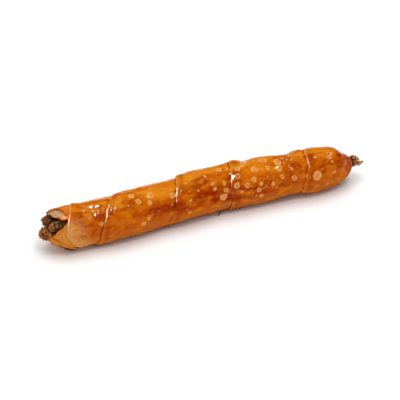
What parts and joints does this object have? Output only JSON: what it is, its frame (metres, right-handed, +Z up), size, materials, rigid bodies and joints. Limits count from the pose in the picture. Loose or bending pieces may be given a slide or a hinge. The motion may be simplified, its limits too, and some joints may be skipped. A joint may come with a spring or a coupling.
{
  "type": "wrapped meat roll",
  "caption": "Long glazed roll: a dough strip wound in an overlapping helix round a coarse meat stick that stands out at both ends; lies on a baked flat underside.",
  "frame": {"origin": "centre of the bounding box, at the height of the flat underside that the roll rests on", "axes": "+X along the roll from the open mouth to the narrow neck, +Z up from the flat underside, -Y the front with the slanted mouth"},
  "size_m": [0.309, 0.0472, 0.0398],
  "materials": {
    "glazed_dough": "amber baked glaze, glossy, with pale blisters",
    "minced_meat": "dry, coarse, brown"
  },
  "bodies": {
    "root": {"wrap": "glazed_dough", "filling": "minced_meat"}
  },
  "joints": []
}
